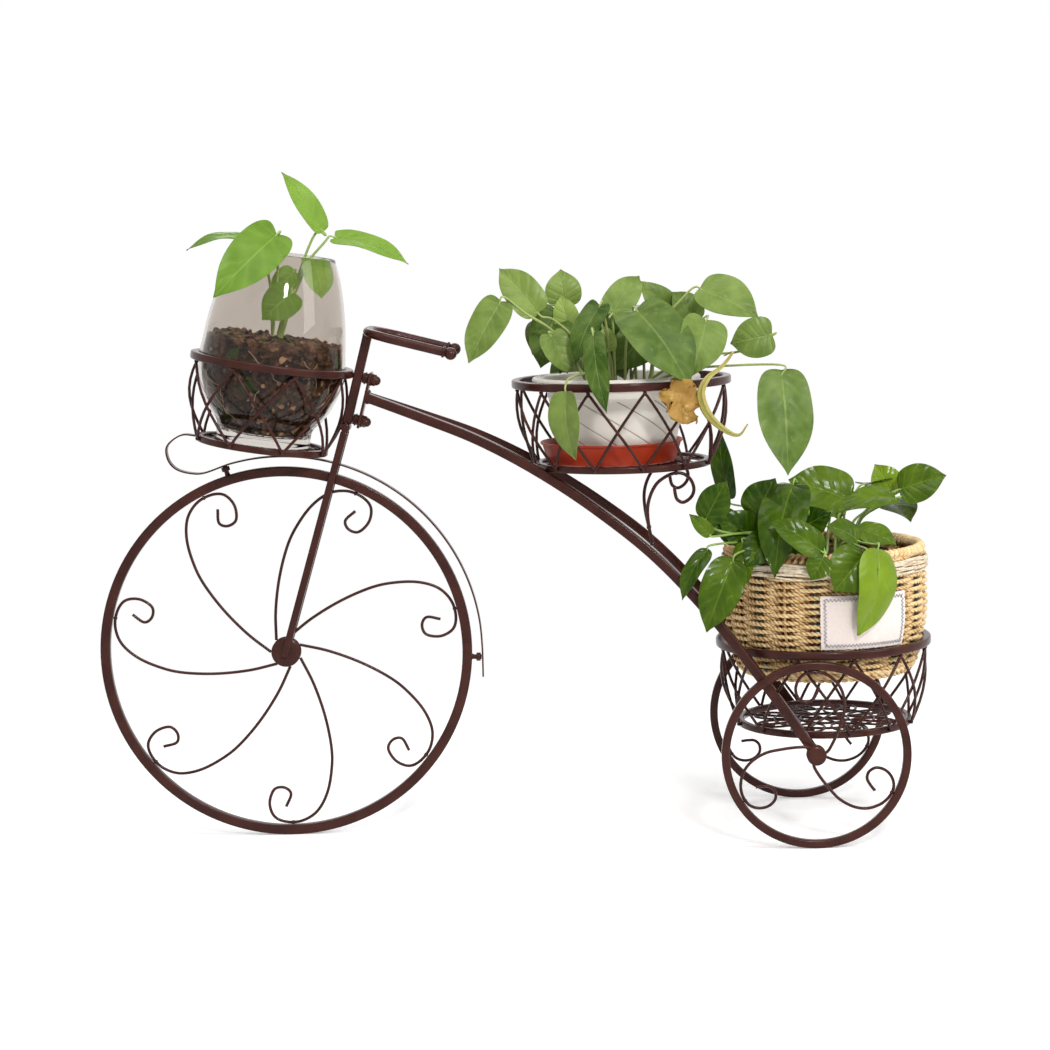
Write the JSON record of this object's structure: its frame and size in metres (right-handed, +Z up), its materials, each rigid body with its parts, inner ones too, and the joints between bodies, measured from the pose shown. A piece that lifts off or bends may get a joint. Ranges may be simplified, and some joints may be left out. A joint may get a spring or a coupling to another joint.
{
  "type": "bicycle plant stand",
  "caption": "Bicycle-shaped metal plant stand with baskets holding a glass vase, a ceramic pot and a straw basket of trailing pothos.",
  "frame": {"origin": "the point where the big front wheel stands on the floor", "axes": "+X from the front wheel to the rear wheels, +Y away from the side that the picture shows, +Z up"},
  "size_m": [0.9608, 0.2824, 0.7495],
  "materials": {
    "paint": "gloss",
    "glass": "polished",
    "glaze": "satin",
    "terracotta": "satin",
    "straw": "matte",
    "cloth": "matte",
    "soil": "matte",
    "leaf_pale": "satin",
    "leaf_mid": "satin",
    "leaf_dark": "satin"
  },
  "bodies": {
    "stand": {"front_rim": "paint", "front_hub": "paint", "front_spoke_1": "paint", "front_spoke_2": "paint", "front_spoke_3": "paint", "front_spoke_4": "paint", "front_spoke_5": "paint", "front_spoke_6": "paint", "front_spoke_7": "paint", "rear_rim_near": "paint", "rear_rim_far": "paint", "rear_spokes_near": "paint", "rear_spokes_far": "paint", "fork_blade_near": "paint", "fork_blade_far": "paint", "fork_crown": "paint", "head_post": "paint", "head_plate": "paint", "lower_bolt": "paint", "lower_acorn_nut": "paint", "upper_bolt": "paint", "upper_acorn_nut": "paint", "handlebar": "paint", "handlebar_ball_near": "paint", "handlebar_ball_far": "paint", "rail_near": "paint", "rail_far": "paint", "front_basket_top_ring": "paint", "front_basket_bottom_ring": "paint", "front_basket_zigzag_outer": "paint", "front_basket_zigzag_inner": "paint", "front_basket_grille": "paint", "middle_basket_top_ring": "paint", "middle_basket_bottom_ring": "paint", "middle_basket_zigzag_outer": "paint", "middle_basket_zigzag_inner": "paint", "middle_basket_grille": "paint", "rear_basket_top_ring": "paint", "rear_basket_bottom_ring": "paint", "rear_basket_zigzag_outer": "paint", "rear_basket_zigzag_inner": "paint", "rear_basket_grille": "paint", "scroll_bracket_near": "paint", "scroll_bracket_far": "paint", "mudguard": "paint", "mudguard_stay_front": "paint", "mudguard_stay_rear": "paint"},
    "vase": {"glass_vase": "glass", "vase_soil": "soil", "vase_plant": "leaf_pale"},
    "saucer_body": {"saucer": "terracotta"},
    "pot": {"ceramic_pot": "glaze", "pot_soil": "soil", "pot_plant": "leaf_mid"},
    "straw": {"straw_basket": "straw", "basket_soil": "soil", "label": "cloth", "basket_plant": "leaf_dark"}
  },
  "joints": [
    {"name": "vase_lift", "type": "slide", "parent": "stand", "child": "vase", "axis": [0.1599, 0, 0.9871], "range_m": [0, 0.12]},
    {"name": "saucer_lift", "type": "slide", "parent": "stand", "child": "saucer_body", "axis": [0, 0, 1], "range_m": [0, 0.12]},
    {"name": "pot_lift", "type": "slide", "parent": "saucer_body", "child": "pot", "axis": [0, 0, 1], "range_m": [0, 0.12]},
    {"name": "straw_lift", "type": "slide", "parent": "stand", "child": "straw", "axis": [0, 0, 1], "range_m": [0, 0.08]}
  ]
}
